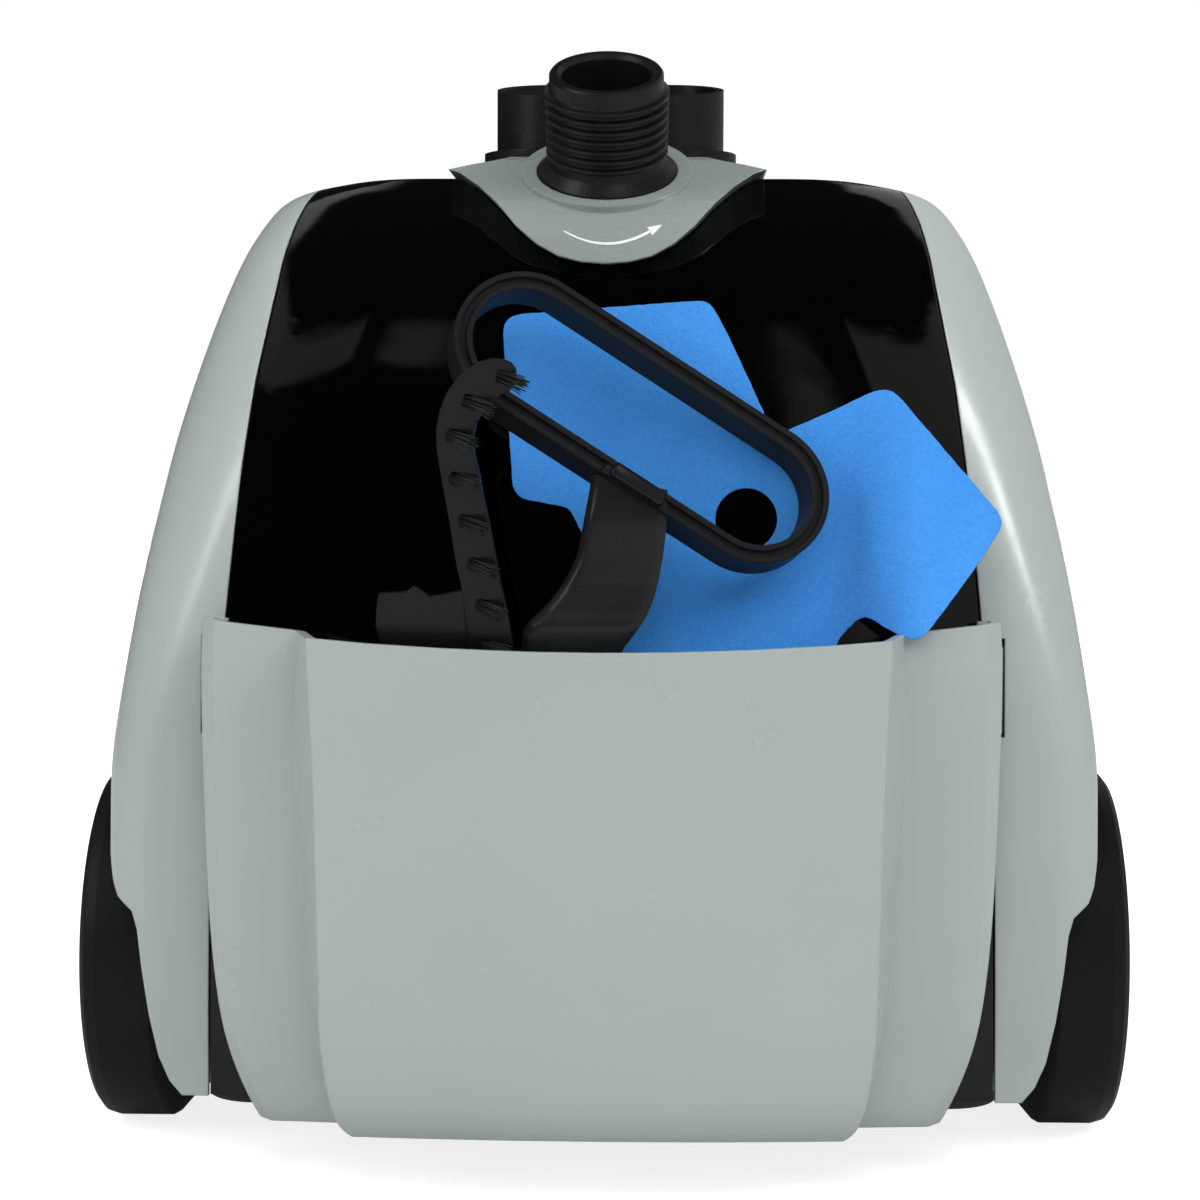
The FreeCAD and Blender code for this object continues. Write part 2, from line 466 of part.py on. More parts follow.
# ---------------------------------------------------------------- electrics
switch_body = box(-12.0, 118.0, SW_Z - 8.0, 12.0, 132.0, SW_Z + 8.0).cut(cyl(4.1, 10.0, (0, 128.0, SW_Z), (0, 1, 0)))
power_button = cyl(13.0, 16.0, (0, 140.0, SW_Z), (0, 1, 0)).fuse(cyl(4.0, 8.0, (0, 132.8, SW_Z), (0, 1, 0)))
power_button = power_button.fuse(cyl(14.6, 1.6, (0, 140.0, SW_Z), (0, 1, 0))).removeSplitter()
lens = cyl(3.0, 7.5, (26.0, 142.5, SW_Z), (0, 1, 0)).fuse(cyl(4.4, 1.6, (26.0, 142.6, SW_Z), (0, 1, 0))).removeSplitter()
gland = cyl(8.0, 16.0, (GL_X, 138.0, GL_Z), (0, 1, 0)).fuse(cyl(10.4, 4.6, (GL_X, 151.6, GL_Z), (0, 1, 0)))
gland = gland.cut(cyl(3.6, 40.0, (GL_X, 130.0, GL_Z), (0, 1, 0))).removeSplitter()
terminal = fuse(box(-74.0, 40.0, 20.2, -44.0, 54.0, 34.0))
for k in range(3):
    terminal = terminal.cut(cyl(2.2, 6.0, (-67.0 + 8 * k, 47.0, 29.0)))
wires = Part.makeCompound([
    tube_path([(-67.0, 55.8, 28.0), (-60.0, 66.0, 27.0), (-38.0, 84.0, 30.0), (-36.0, 120.0, 38.0), (-36.0, 137.5, 40.0)], 1.6),
    tube_path([(-59.0, 55.8, 28.0), (-40.0, 70.0, 27.0), (-30.0, 98.0, 28.0), (-24.0, 118.0, 36.0), (-13.8, 124.0, 42.0)], 1.6),
    tube_path([(-51.0, 39.0, 28.0), (-51.0, 28.0, 27.0), (-36.0, 16.0, 24.4), (-31.0, 6.0, 25.0)], 1.6)])

# ---------------------------------------------------------------- wheels
def wheel(sg):
    out, tin, inn = WHEEL_OUT, WHEEL_TREAD_IN, WHEEL_IN
    R = WHEEL_R
    p = [(inn, AXLE_R + AXLE_FIT), (inn, R - WHEEL_CHAMFER - 5.0), (inn + 1.2, R - WHEEL_CHAMFER - 1.5), (tin - 1.0, R - 0.9), (tin + 0.6, R),
         (out - 6.0, R), (out - 2.6, R - 1.0), (out - 0.9, R - 3.2), (out - 0.3, R - 6.5), (out + 0.0, R - 12.0), (out + 0.3, 40.0),
         (out - 5.0, 38.0), (out - 5.4, 20.0), (out - 1.0, 18.0), (out - 1.0, 12.2), (out - 4.6, 12.2), (out - 4.6, AXLE_R + AXLE_FIT)]
    pts = [V(x, 0, r) for x, r in p]
    face = Part.Face(Part.makePolygon(pts + [pts[0]]))
    s = face.revolve(V(0, 0, 0), V(1, 0, 0), 360)
    s.translate(V(0, 0, AXLE_Z))
    # hollow pocket on the inner side
    ring = cyl(R - WHEEL_CHAMFER - 9.0, 17.0, (inn - 0.1, 0, AXLE_Z), (1, 0, 0)).cut(cyl(HUB_R, 17.2, (inn - 0.1, 0, AXLE_Z), (1, 0, 0)))
    for k in range(6):
        rib = box(inn + 3.0, HUB_R - 2, AXLE_Z - 1.2, inn + 20.0, 60.0, AXLE_Z + 1.2)
        rib.rotate(V(0, 0, AXLE_Z), V(1, 0, 0), 60 * k)
        ring = ring.cut(rib)
    s = s.cut(ring).removeSplitter()
    cap = cyl(12.0, 1.8, (out - 2.8, 0, AXLE_Z), (1, 0, 0)).fuse(cyl(11.0, 1.6, (out - 1.2, 0, AXLE_Z), (1, 0, 0))).removeSplitter()
    pin = fuse(cyl(AXLE_R, out - 5.2 - 92.0, (92.0, 0, AXLE_Z), (1, 0, 0)), cyl(7.2, 1.6, (out - 4.5, 0, AXLE_Z), (1, 0, 0)), cyl(AXLE_R - 1.4, 1.0, (out - 5.3, 0, AXLE_Z), (1, 0, 0)))
    spacer = cyl(8.0, 2.6, (ARCH_X + 0.5, 0, AXLE_Z), (1, 0, 0)).cut(cyl(AXLE_R + 0.03, 10, (ARCH_X - 2, 0, AXLE_Z), (1, 0, 0)))
    if sg < 0:
        return [mirror_x(q) for q in (s, cap, pin, spacer)]
    return [s, cap, pin, spacer]
rw, rcap, rpin, rsp = wheel(1)
lw, lcap, lpin, lsp = wheel(-1)

# ---------------------------------------------------------------- casters
TRAIL, CW_R = 8.0, 12.5
def caster(sg):
    cx = sg * CAST_X
    yc = CAST_Y + TRAIL
    zc = CW_R + FLOOR
    fork = cyl(11.0, 3.0, (cx, CAST_Y, 27.0)).fuse(cyl(4.0, 33.0, (cx, CAST_Y, 29.0)))
    for s2 in (1, -1):
        x0 = cx + (5.4 if s2 > 0 else -8.0)
        arm = box(x0, CAST_Y - 2.0, 23.0, x0 + 2.6, CAST_Y + 9.5, 29.0).fuse(box(x0, yc - 4.0, zc, x0 + 2.6, yc + 4.0, 25.0)).fuse(cyl(4.0, 2.6, (x0, yc, zc), (1, 0, 0)))
        fork = fork.fuse(arm)
    fork = fork.fuse(cyl(2.0, 16.0, (cx - 8.0, yc, zc), (1, 0, 0))).removeSplitter()
    wh = cyl(CW_R, 9.6, (cx - 4.8, yc, zc), (1, 0, 0)).cut(cyl(2.05, 20.0, (cx - 10, yc, zc), (1, 0, 0)))
    wh = wh.makeFillet(1.5, [e for e in wh.Edges if hasattr(e.Curve, "Radius") and abs(e.Curve.Radius - CW_R) < 0.1])
    return fork, wh
rf_, rw_ = caster(1)
lf_, lw_ = caster(-1)

# ---------------------------------------------------------------- accessory bin
BIN = [  # z, centre half, facet half, wing half, centre y, wing y
    (17.5, 71.0, 74.0, 101.0, -109.0, -93.0),
    (21.5, 74.6, 77.6, 103.0, -111.5, -94.5),
    (30.0, 77.4, 80.6, 106.8, -113.4, -95.4),
    (42.0, 79.2, 82.8, 110.8, -114.2, -95.8),
    (56.0, 80.0, 84.6, 113.4, -114.4, -96.0),
    (74.0, 80.4, 85.8, 115.2, -114.5, -96.0),
    (104.0, 81.0, 88.0, 116.6, -114.5, -96.0),
    (134.0, 82.0, 89.0, 117.4, -114.4, -96.0),
    (172.0, 83.4, 89.8, 116.4, -114.2, -96.0)]
BIN_BACK = -79.3
def bin_solid(inset, zshift=0.0):
    wires = []
    for z, cw, fw, ww, yc, yw in BIN:
        cw, fw, ww, yc, yw = cw - inset, fw - inset, ww - inset, yc + inset, yw + inset
        yb = BIN_BACK - inset
        P = [V(ww, yb, z), V(ww, yw + 6.0, z), V(ww - 4.0, yw + 1.2, z), V(fw, yw - 0.8, z), V(cw, yc, z)]
        e = [Part.makeLine(P[i], P[i + 1]) for i in range(4)]
        mid = V(0, yc - 3.0, z)
        arc = Part.Arc(P[4], mid, V(-cw, yc, z)).toShape()
        L = [V(-p.x, p.y, p.z) for p in reversed(P)]
        e2 = [Part.makeLine(L[i], L[i + 1]) for i in range(4)]
        back = Part.makeLine(L[4], P[0])
        wires.append(Part.Wire(e + [arc] + e2 + [back]))
    return Part.makeLoft(wires, True, False)
bo = bin_solid(0.0)
bi = bin_solid(BIN_WALL).common(box(-200, -200, 17.5 + 3.0, 200, 0, 200))
binb = bo.cut(bi)
rim = [(-130, 168.0), (-116.8, 166.6), (-89.4, 163.6), (-83.0, 162.6), (-66.0, 161.2), (-44.0, 160.0), (-20.0, 159.2), (0, 159.0),
       (20.0, 159.2), (44.0, 160.0), (66.0, 161.2), (83.0, 162.6), (89.4, 163.6), (116.8, 166.6), (130, 168.0)]
rim_cut = xz_prism(rim + [(130, 260), (-130, 260)], -200, 0)
binb = binb.cut(rim_cut)
# the back wall is lower than the rim
binb = binb.cut(box(-111.0, BIN_BACK - BIN_WALL - 0.2, 128.0, 111.0, BIN_BACK + 5.0, 200.0))
# hooks that clip into the side shells
for sg in (1, -1):
    x0, x1 = sorted((sg * 116.8, sg * 118.6))
    hk = box(x0, -82.4, 133.0, x1, -66.0, 158.6)
    x0, x1 = sorted((sg * 114.6, sg * 118.6))
    hk = hk.fuse(box(x0, -82.4, 133.0, x1, -79.5, 158.6))
    binb = binb.fuse(hk)
binb = binb.removeSplitter()

# ---------------------------------------------------------------- accessories
# ring frame with hook strap
RN = V(0.24, -0.927, 0.288)
RN.normalize()
U0 = V(math.cos(math.radians(-31.6)), 0, math.sin(math.radians(-31.6)))
RU = U0 - RN * U0.dot(RN)
RU.normalize()
RV = RN.cross(RU) * -1.0
if RV.z < 0:
    RV = RV * -1.0
RC = V(12.35, -96.1, 226.0)
RING_L, RING_H, RING_D, RING_W = 39.9, 21.4, 13.0, 5.4   # half centre distance, outer cap radius, depth, band width
def ring_local(half, r, d0, d1):
    s = box(-half, -r, d0, half, r, d1).fuse(cyl(r, d1 - d0, (-half, 0, d0))).fuse(cyl(r, d1 - d0, (half, 0, d0)))
    return s.removeSplitter()
ring = ring_local(RING_L, RING_H, -RING_D, 0.0).cut(ring_local(RING_L, RING_H - 2.2, -RING_D - 1, -3.4))
ring = ring.fuse(ring_local(RING_L, RING_H - 2.2, -3.4, 0).cut(ring_local(RING_L, RING_H - RING_W, -5, 1)))
ring = ring.fuse(ring_local(RING_L, RING_H - RING_W + 1.8, -RING_D, 0).cut(ring_local(RING_L, RING_H - RING_W, -RING_D - 1, 1)))
ring = ring.cut(ring_local(RING_L, RING_H - RING_W, -RING_D - 1, 1))
ring = ring.cut(ring_local(RING_L, RING_H - 1.7, -1.4, 1).cut(ring_local(RING_L, RING_H - RING_W + 1.7, -2, 2)))
ring = ring.removeSplitter()
m = FreeCAD.Matrix(RU.x, RV.x, RN.x, RC.x, RU.y, RV.y, RN.y, RC.y, RU.z, RV.z, RN.z, RC.z, 0, 0, 0, 1)
if m.determinant() < 0:
    RV = RV * -1.0
    m = FreeCAD.Matrix(RU.x, RV.x, RN.x, RC.x, RU.y, RV.y, RN.y, RC.y, RU.z, RV.z, RN.z, RC.z, 0, 0, 0, 1)
print("ring axes", RU, RV, RN)
ring = ring.transformGeometry(m)
# strap: side profile swept sideways, hangs from the lower rail and curls up at its end
def strap_solid():
    path = [(-99.6, 205.5), (-100.6, 196.0), (-100.4, 184.0), (-99.0, 172.0), (-98.6, 160.0), (-99.8, 148.0), (-103.0, 139.5), (-107.5, 136.0)]
    t = 2.6
    out, inn = [], []
    for i, (y, z) in enumerate(path):
        a = path[max(i - 1, 0)]
        b = path[min(i + 1, len(path) - 1)]
        dy, dz = b[0] - a[0], b[1] - a[1]
        L = math.hypot(dy, dz)
        ny, nz = -dz / L, dy / L
        out.append((y + ny * t / 2, z + nz * t / 2))
        inn.append((y - ny * t / 2, z - nz * t / 2))
    s = yz_prism(out + inn[::-1], -40, 40)
    outline = [(-2.5, 215.0), (-2.5, 209.5), (-3.2, 204.5), (-4.3, 198.3), (-5.4, 192.2), (-6.5, 186.7), (-8.4, 182.1), (-11.1, 177.4), (-14.5, 172.7),
               (-18.3, 168.8), (-21.5, 165.2), (-22.6, 160.0), (-23.0, 150.0), (-23.0, 130.0), (2.0, 130.0), (3.5, 150.0), (6.5, 158.2), (10.3, 163.7),
               (13.4, 168.4), (15.6, 173.8), (17.0, 179.2), (18.0, 184.7), (18.9, 190.9), (19.3, 196.6), (19.8, 203.0), (20.0, 215.0)]
    return s.common(xz_prism(outline, -140, -60))
strap = strap_solid().cut(ring)
strap = sorted(strap.Solids, key=lambda q: -q.Volume)[0]

# brush: crook-shaped back with tufts, leans on the rim
BS = -0.16
def brush_plane(s, y0, z0):
    """shear a slab built at constant Y so that it leans"""
    mm = FreeCAD.Matrix(1, 0, 0, 0, 0, 1, BS, -BS * z0, 0, 0, 1, 0, 0, 0, 0, 1)
    return s.transformGeometry(mm)
BR_OUT = [(-23.2, 236.3), (-23.4, 239.2), (-24.7, 241.0), (-26.8, 241.9), (-30.2, 242.1), (-33.2, 241.2), (-36.9, 239.1), (-40.3, 236.0), (-43.0, 232.3),
          (-44.9, 227.8), (-46.0, 222.5), (-46.0, 216.5), (-45.1, 210.4), (-43.8, 202.8), (-42.5, 195.2), (-41.4, 187.5), (-40.4, 181.4), (-39.2, 176.0),
          (-38.1, 165.9), (-37.3, 158.1), (-36.6, 120.0), (-36.0, 80.0), (-35.8, 50.0), (-26.0, 48.0), (-24.8, 80.0), (-24.3, 120.0), (-24.4, 158.2),
          (-25.8, 166.8), (-26.9, 173.0), (-28.2, 178.4), (-29.2, 184.6), (-30.3, 190.7), (-31.4, 196.8), (-32.9, 202.9), (-34.0, 209.7), (-35.2, 215.0),
          (-35.5, 220.3), (-34.7, 224.1), (-32.1, 227.9), (-28.5, 231.3), (-25.3, 233.0), (-23.8, 234.7)]
brush = xz_prism(BR_OUT, -105.6, -101.0)
foot = [(-63.8, 172.8), (-63.2, 175.2), (-55.1, 175.8), (-53.1, 177.3), (-51.1, 176.2), (-48.8, 174.4), (-43.1, 175.4), (-38.0, 176.6), (-36.0, 150.0), (-60.0, 150.0), (-62.8, 159.7), (-64.4, 165.6)]
brush = brush.fuse(xz_prism(foot, -104.6, -101.0)).removeSplitter()
brush = brush_plane(brush, 0, 160.0)
TUFT = [(-27.5, 236.9), (-37.0, 230.1), (-41.7, 220.3), (-40.9, 208.2), (-38.5, 196.0), (-36.1, 183.7), (-33.8, 171.8), (-32.3, 160.1)]
tufts = []
for x, z in TUFT:
    y = -105.6 + BS * (z - 160.0)
    tufts.append(Part.makeCone(1.6, 2.2, 9.6, V(x - 0.74, y + 0.62, z + 0.26), V(0.74, -0.62, -0.26)))
tuft_set = Part.makeCompound(tufts)
brush = brush.cut(tuft_set)

# blue foam pad: flat die-cut sheet whose right lobe hangs forward over the bin's wing
PAD_Y0, PAD_S, PAD_T = -81.4, 0.16, 2.0
PAD_OUT = [(-30.1, 253.5), (-28.8, 231.0), (-26.6, 204.2), (-24.8, 201.8), (-9.9, 199.3), (2.0, 176.0), (6.0, 150.0), (10.0, 116.0), (14.0, 112.0), (58.0, 112.0), (64.0, 118.0),
           (68.0, 150.0), (69.9, 160.6), (73.9, 165.2), (77.7, 168.4), (84.0, 164.3), (88.2, 162.4), (90.4, 161.7), (93.1, 162.7), (99.4, 170.6), (108.3, 182.0), (116.8, 194.2), (117.4, 195.9),
           (116.6, 197.9), (104.8, 212.0), (93.4, 225.7), (86.6, 234.0), (84.3, 235.2), (82.0, 234.6), (67.3, 227.7), (56.3, 222.8), (51.0, 221.0),
           (47.6, 228.7), (41.9, 241.2), (36.4, 252.5), (33.4, 258.5), (32.2, 260.6), (30.1, 261.2), (-1.2, 258.8), (-25.9, 256.8), (-29.2, 255.6)]
def pad_y(x, z):
    t = min(max((x - 69.0) / 25.0, 0.0), 1.0)
    s = t * t * (3 - 2 * t)
    k = min(max(1.0 - (z - 162.0) / 95.0, 0.0), 1.0)
    return PAD_Y0 + PAD_S * (z - 160.0) - 20.5 * s * k
def pad_solid():
    X = [-36.0 + 8.0 * i for i in range(21)]
    Z = [104.0 + 10.0 * i for i in range(17)]
    c = Part.BSplineSurface()
    c.interpolate([[V(x, pad_y(x, z) - PAD_T / 2, z) for z in Z] for x in X])
    slab = c.toShape().extrude(V(0, PAD_T, 0))
    region = xz_prism(PAD_OUT, -180, 0)
    hole = cyl(9.2, 200.0, (42.9, -180, 195.9), (0, 1, 0))
    rim_gap = bin_solid(-0.4).cut(bin_solid(BIN_WALL + 0.4)).cut(rim_cut.translated(V(0, 0, 0.4)))
    return region.common(slab).cut(hole).cut(rim_gap)
pad = pad_solid()

# ---------------------------------------------------------------- screws
base_screws = []
for sx, sy in SCREWS:
    for sg in (1, -1):
        base_screws.append(fuse(cyl(1.6, 16.0, (sg * sx, sy, BASE_Z + 0.2)), cyl(3.4, 1.2, (sg * sx, sy, BASE_Z - 0.4 + 0.45))))
boiler_screws = []
for px, py in FEET:
    boiler_screws.append(fuse(cyl(1.6, 22.6, (px, py, BASE_Z + 2.0)), cyl(2.9, 1.8, (px, py, 41.1))))

# ---------------------------------------------------------------- write the nodes
save("front_panel", panel)
save("top_yoke", yoke)
save("right_shell", right, 1)
save("left_shell", mirror_x(right), 1)
save("rear_cover", rear)
save("base_pan", base)
save("pole_collar", collar)
save("pole_socket", socket)
save("steam_port", port)
save("port_seal", port_seal)
save("port_nut", port_nut)
save("steam_riser", riser)
save("boiler_body", boiler)
save("boiler_gasket", gasket)
save("boiler_lid", lid)
save("lid_screws", Part.makeCompound(lid_screws))
save("heating_element", element)
save("thermostat", thermostat)
save("thermal_fuse", fuse_link)
save("inlet_cup", cup)
save("tank_seal", tank_seal)
save("feed_hose", feed)
save("water_tank", tank)
save("tank_cap", tank_cap)
save("valve_pin", valve_pin)
save("drain_plug", drain_plug)
save("switch_body", switch_body)
save("power_button", power_button)
save("indicator_lens", lens)
save("cord_gland", gland)
save("terminal_block", terminal)
save("wiring", wires)
save("left_wheel", lw)
save("left_hubcap", lcap)
save("right_wheel", rw)
save("right_hubcap", rcap)
save("axle_pins", Part.makeCompound([lpin, rpin]))
save("axle_spacers", Part.makeCompound([lsp, rsp]))
save("left_caster_fork", lf_)
save("left_caster_wheel", lw_)
save("right_caster_fork", rf_)
save("right_caster_wheel", rw_)
save("accessory_bin", binb)
save("ring_frame", ring)
save("hook_strap", strap)
save("brush_back", brush)
save("brush_tufts", tuft_set)
save("foam_pad", pad)
save("base_screws", Part.makeCompound(base_screws))
save("boiler_screws", Part.makeCompound(boiler_screws))
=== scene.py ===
import bpy, bmesh, math, random, json
from mathutils import Vector, Matrix
from mathutils.bvhtree import BVHTree
from mathutils.geometry import delaunay_2d_cdt

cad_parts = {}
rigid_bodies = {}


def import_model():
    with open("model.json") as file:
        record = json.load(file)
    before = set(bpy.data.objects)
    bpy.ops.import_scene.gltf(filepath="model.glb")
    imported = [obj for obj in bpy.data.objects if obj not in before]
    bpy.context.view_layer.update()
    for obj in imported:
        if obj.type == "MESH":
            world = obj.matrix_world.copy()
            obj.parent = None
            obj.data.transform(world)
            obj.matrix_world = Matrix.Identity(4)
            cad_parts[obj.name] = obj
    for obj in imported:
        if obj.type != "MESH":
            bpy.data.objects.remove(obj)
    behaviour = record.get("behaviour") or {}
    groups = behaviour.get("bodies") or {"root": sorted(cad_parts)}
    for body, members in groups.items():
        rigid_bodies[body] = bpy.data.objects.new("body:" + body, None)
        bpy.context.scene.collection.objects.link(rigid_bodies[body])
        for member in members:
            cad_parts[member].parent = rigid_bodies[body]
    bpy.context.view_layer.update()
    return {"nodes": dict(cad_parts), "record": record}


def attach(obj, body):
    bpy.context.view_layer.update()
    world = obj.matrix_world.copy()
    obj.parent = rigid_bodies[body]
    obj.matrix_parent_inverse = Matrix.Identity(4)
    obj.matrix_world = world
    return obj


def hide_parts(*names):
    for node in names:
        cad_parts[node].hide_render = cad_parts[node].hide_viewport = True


for o in list(bpy.data.objects):
    bpy.data.objects.remove(o)
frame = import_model()
N = frame["nodes"]
random.seed(11)
SY, SZ = -15.6, 3.0     # building frame to part frame, mm


def P(x, y, z):
    """a point given in mm of the building frame, in metres of the part frame"""
    return Vector((x / 1000.0, (y + SY) / 1000.0, (z + SZ) / 1000.0))


# ------------------------------------------------------------------ materials
class Mat:
    def __init__(self, name):
        self.m = bpy.data.materials.new(name)
        self.m.use_nodes = True
        self.t = self.m.node_tree
        self.t.nodes.clear()
        self.out = self.t.nodes.new("ShaderNodeOutputMaterial")
        self.b = self.t.nodes.new("ShaderNodeBsdfPrincipled")
        self.t.links.new(self.b.outputs[0], self.out.inputs[0])
        self.co = self.t.nodes.new("ShaderNodeTexCoord").outputs["Object"]

    def set(self, **k):
        for n, v in k.items():
            self.b.inputs[n.replace("_", " ")].default_value = v
        return self

    def noise(self, scale, detail=4.0, rough=0.55, stretch=None):
        n = self.t.nodes.new("ShaderNodeTexNoise")
        n.inputs["Scale"].default_value = scale
        n.inputs["Detail"].default_value = detail
        n.inputs["Roughness"].default_value = rough
        src = self.co
        if stretch:
            mp = self.t.nodes.new("ShaderNodeMapping")
            mp.inputs["Scale"].default_value = stretch
            self.t.links.new(self.co, mp.inputs["Vector"])
            src = mp.outputs[0]
        self.t.links.new(src, n.inputs["Vector"])
        return n.outputs["Fac"]

    def voronoi(self, scale, feature="F1"):
        n = self.t.nodes.new("ShaderNodeTexVoronoi")
        n.feature = feature
        n.inputs["Scale"].default_value = scale
        self.t.links.new(self.co, n.inputs["Vector"])
        return n.outputs["Distance"]

    def ramp(self, fac, lo, hi, a, b):
        n = self.t.nodes.new("ShaderNodeMapRange")
        n.inputs["From Min"].default_value = lo
        n.inputs["From Max"].default_value = hi
        n.inputs["To Min"].default_value = a
        n.inputs["To Max"].default_value = b
        self.t.links.new(fac, n.inputs["Value"])
        return n.outputs[0]

    def mix(self, fac, a, b):
        n = self.t.nodes.new("ShaderNodeMix")
        n.data_type = "RGBA"
        for i, v in ((6, a), (7, b)):
            if isinstance(v, (tuple, list)):
                n.inputs[i].default_value = (*v, 1.0) if len(v) == 3 else v
            else:
                self.t.links.new(v, n.inputs[i])
        if isinstance(fac, float):
            n.inputs[0].default_value = fac
        else:
            self.t.links.new(fac, n.inputs[0])
        return n.outputs[2]

    def add(self, a, b, op="ADD"):
        n = self.t.nodes.new("ShaderNodeMath")
        n.operation = op
        for i, v in ((0, a), (1, b)):
            if isinstance(v, float):
                n.inputs[i].default_value = v
            else:
                self.t.links.new(v, n.inputs[i])
        return n.outputs[0]

    def link(self, out, name):
        self.t.links.new(out, self.b.inputs[name])
        return self

    def bump(self, height, strength, dist, edge=None):
        n = self.t.nodes.new("ShaderNodeBump")
        n.inputs["Strength"].default_value = strength
        n.inputs["Distance"].default_value = dist
        self.t.links.new(height, n.inputs["Height"])
        if edge:
            e = self.t.nodes.new("ShaderNodeBevel")
            e.samples = 6
            e.inputs["Radius"].default_value = edge
            self.t.links.new(e.outputs[0], n.inputs["Normal"])
        self.t.links.new(n.outputs[0], self.b.inputs["Normal"])
        return self


def plastic(name, color, rough, spread=0.10, grain=900.0, grain_h=0.00003, strength=0.25, edge=0.0007, spec=0.5, tint=0.06, coat=0.0):
    m = Mat(name)
    big = m.noise(14.0, 3.0)
    fine = m.noise(grain, 3.0, 0.6)
    dark = tuple(c * (1.0 - tint) for c in color)
    light = tuple(min(1.0, c * (1.0 + tint)) for c in color)
    m.link(m.mix(m.ramp(big, 0.3, 0.7, 0.0, 1.0), dark, light), "Base Color")
    smudge = m.noise(38.0, 5.0, 0.65)
    m.link(m.ramp(smudge, 0.3, 0.75, rough - spread * 0.5, rough + spread * 0.5), "Roughness")
    m.bump(fine, strength, grain_h, edge)
    m.b.inputs["Specular IOR Level"].default_value = spec
    if coat:
        m.b.inputs["Coat Weight"].default_value = coat
        m.b.inputs["Coat Roughness"].default_value = 0.12
    return m.m


M = {}
M["shell_grey"] = plastic("shell_grey_moulded", (0.36, 0.402, 0.384), 0.25, 0.08, 700.0, 0.00002, 0.16, 0.0009, 0.45, 0.018)
M["panel_black"] = plastic("panel_piano_black", (0.0004, 0.0004, 0.0004), 0.075, 0.05, 420.0, 0.000003, 0.08, 0.0007, 0.34, 0.2)
M["cover_black"] = plastic("cover_black_grained", (0.022, 0.022, 0.024), 0.56, 0.12, 1500.0, 0.00010, 0.5, 0.0008, 0.35, 0.15)
M["port_black"] = plastic("port_black_rough", (0.0045, 0.0045, 0.0047), 0.40, 0.22, 800.0, 0.00016, 0.65, 0.0005, 0.30, 0.3)
M["accessory_black"] = plastic("accessory_black_satin", (0.0060, 0.0061, 0.0070), 0.27, 0.12, 1100.0, 0.00003, 0.26, 0.0009, 0.42, 0.2)
M["strap_black"] = plastic("strap_black_satin", (0.0135, 0.0135, 0.0142), 0.30, 0.14, 1300.0, 0.00004, 0.32, 0.0006, 0.45, 0.15)
M["ring_black"] = plastic("ring_black_satin", (0.0115, 0.0116, 0.0126), 0.42, 0.12, 1100.0, 0.00003, 0.24, 0.0010, 0.5, 0.2)
M["ring_black"].node_tree.nodes["Principled BSDF"].inputs["IOR"].default_value = 1.17
for k_ in ("accessory_black", "strap_black"):
    M[k_].node_tree.nodes["Principled BSDF"].inputs["IOR"].default_value = 1.36
M["bristle_black"] = plastic("bristle_black_nylon", (0.016, 0.016, 0.016), 0.38, 0.1, 2000.0, 0.00002, 0.3, 0.0001, 0.4, 0.3)
M["wheel_black"] = plastic("wheel_black_satin", (0.0062, 0.0063, 0.0074), 0.50, 0.12, 900.0, 0.00004, 0.35, 0.0010, 0.16, 0.2)
M["hub_black"] = plastic("hub_black_polished", (0.018, 0.018, 0.020), 0.25, 0.1, 700.0, 0.00001, 0.2, 0.0006, 0.45, 0.2)
M["rubber_dark"] = plastic("rubber_dark_matt", (0.018, 0.018, 0.018), 0.72, 0.12, 1500.0, 0.00010, 0.5, 0.0004, 0.3, 0.2)
M["tank_cap_black"] = plastic("tank_cap_satin", (0.03, 0.03, 0.032), 0.4, 0.12, 1100.0, 0.00004, 0.35, 0.0005, 0.4, 0.2)
# painted shade: a darker copy of the shell grey for the same plastic, so the yoke's upward faces read darker than the
# light makes them
M["yoke_shade_painted_grey"] = plastic("shell_grey_painted_darker", (0.235, 0.266, 0.254), 0.27, 0.08, 700.0, 0.00002, 0.16, 0.0009, 0.45, 0.018)
M["button_grey"] = plastic("button_grey_moulded", (0.33, 0.37, 0.355), 0.36, 0.1, 700.0, 0.00002, 0.2, 0.0008, 0.45, 0.03)
M["lens_red"] = plastic("lens_red_clear", (0.45, 0.02, 0.015), 0.12, 0.05, 500.0, 0.00001, 0.1, 0.0004, 0.6, 0.1, 0.6)
M["ceramic_white"] = plastic("ceramic_glazed", (0.75, 0.74, 0.70), 0.25, 0.1, 600.0, 0.00002, 0.2, 0.0003, 0.5, 0.03)
M["wire_cover"] = plastic("wire_cover_brown", (0.09, 0.02, 0.02), 0.5, 0.1, 1500.0, 0.00003, 0.3, 0.0002, 0.4, 0.1)


def metal(name, color, rough, stretch):
    m = Mat(name)
    g = m.noise(320.0, 4.0, 0.6, stretch)
    m.link(m.mix(m.ramp(g, 0.3, 0.7, 0.0, 1.0), tuple(c * 0.86 for c in color), color), "Base Color")
    m.link(m.ramp(g, 0.3, 0.7, rough - 0.06, rough + 0.08), "Roughness")
    m.set(Metallic=1.0)
    m.bump(g, 0.25, 0.00004, 0.0005)
    return m.m


M["cast_aluminium"] = metal("aluminium_cast", (0.62, 0.62, 0.63), 0.42, (1, 1, 1))
M["steel"] = metal("steel_plated", (0.56, 0.56, 0.57), 0.28, (1, 1, 9))

t = Mat("tank_smoke_clear")
t.link(t.mix(t.ramp(t.noise(9.0), 0.3, 0.7, 0.0, 1.0), (0.050, 0.062, 0.070), (0.068, 0.080, 0.090)), "Base Color")
t.link(t.ramp(t.noise(45.0, 5.0), 0.3, 0.75, 0.07, 0.16), "Roughness")
t.bump(t.noise(300.0), 0.08, 0.00001, 0.0010)
t.set(IOR=1.52)
M["tank_smoke"] = t.m

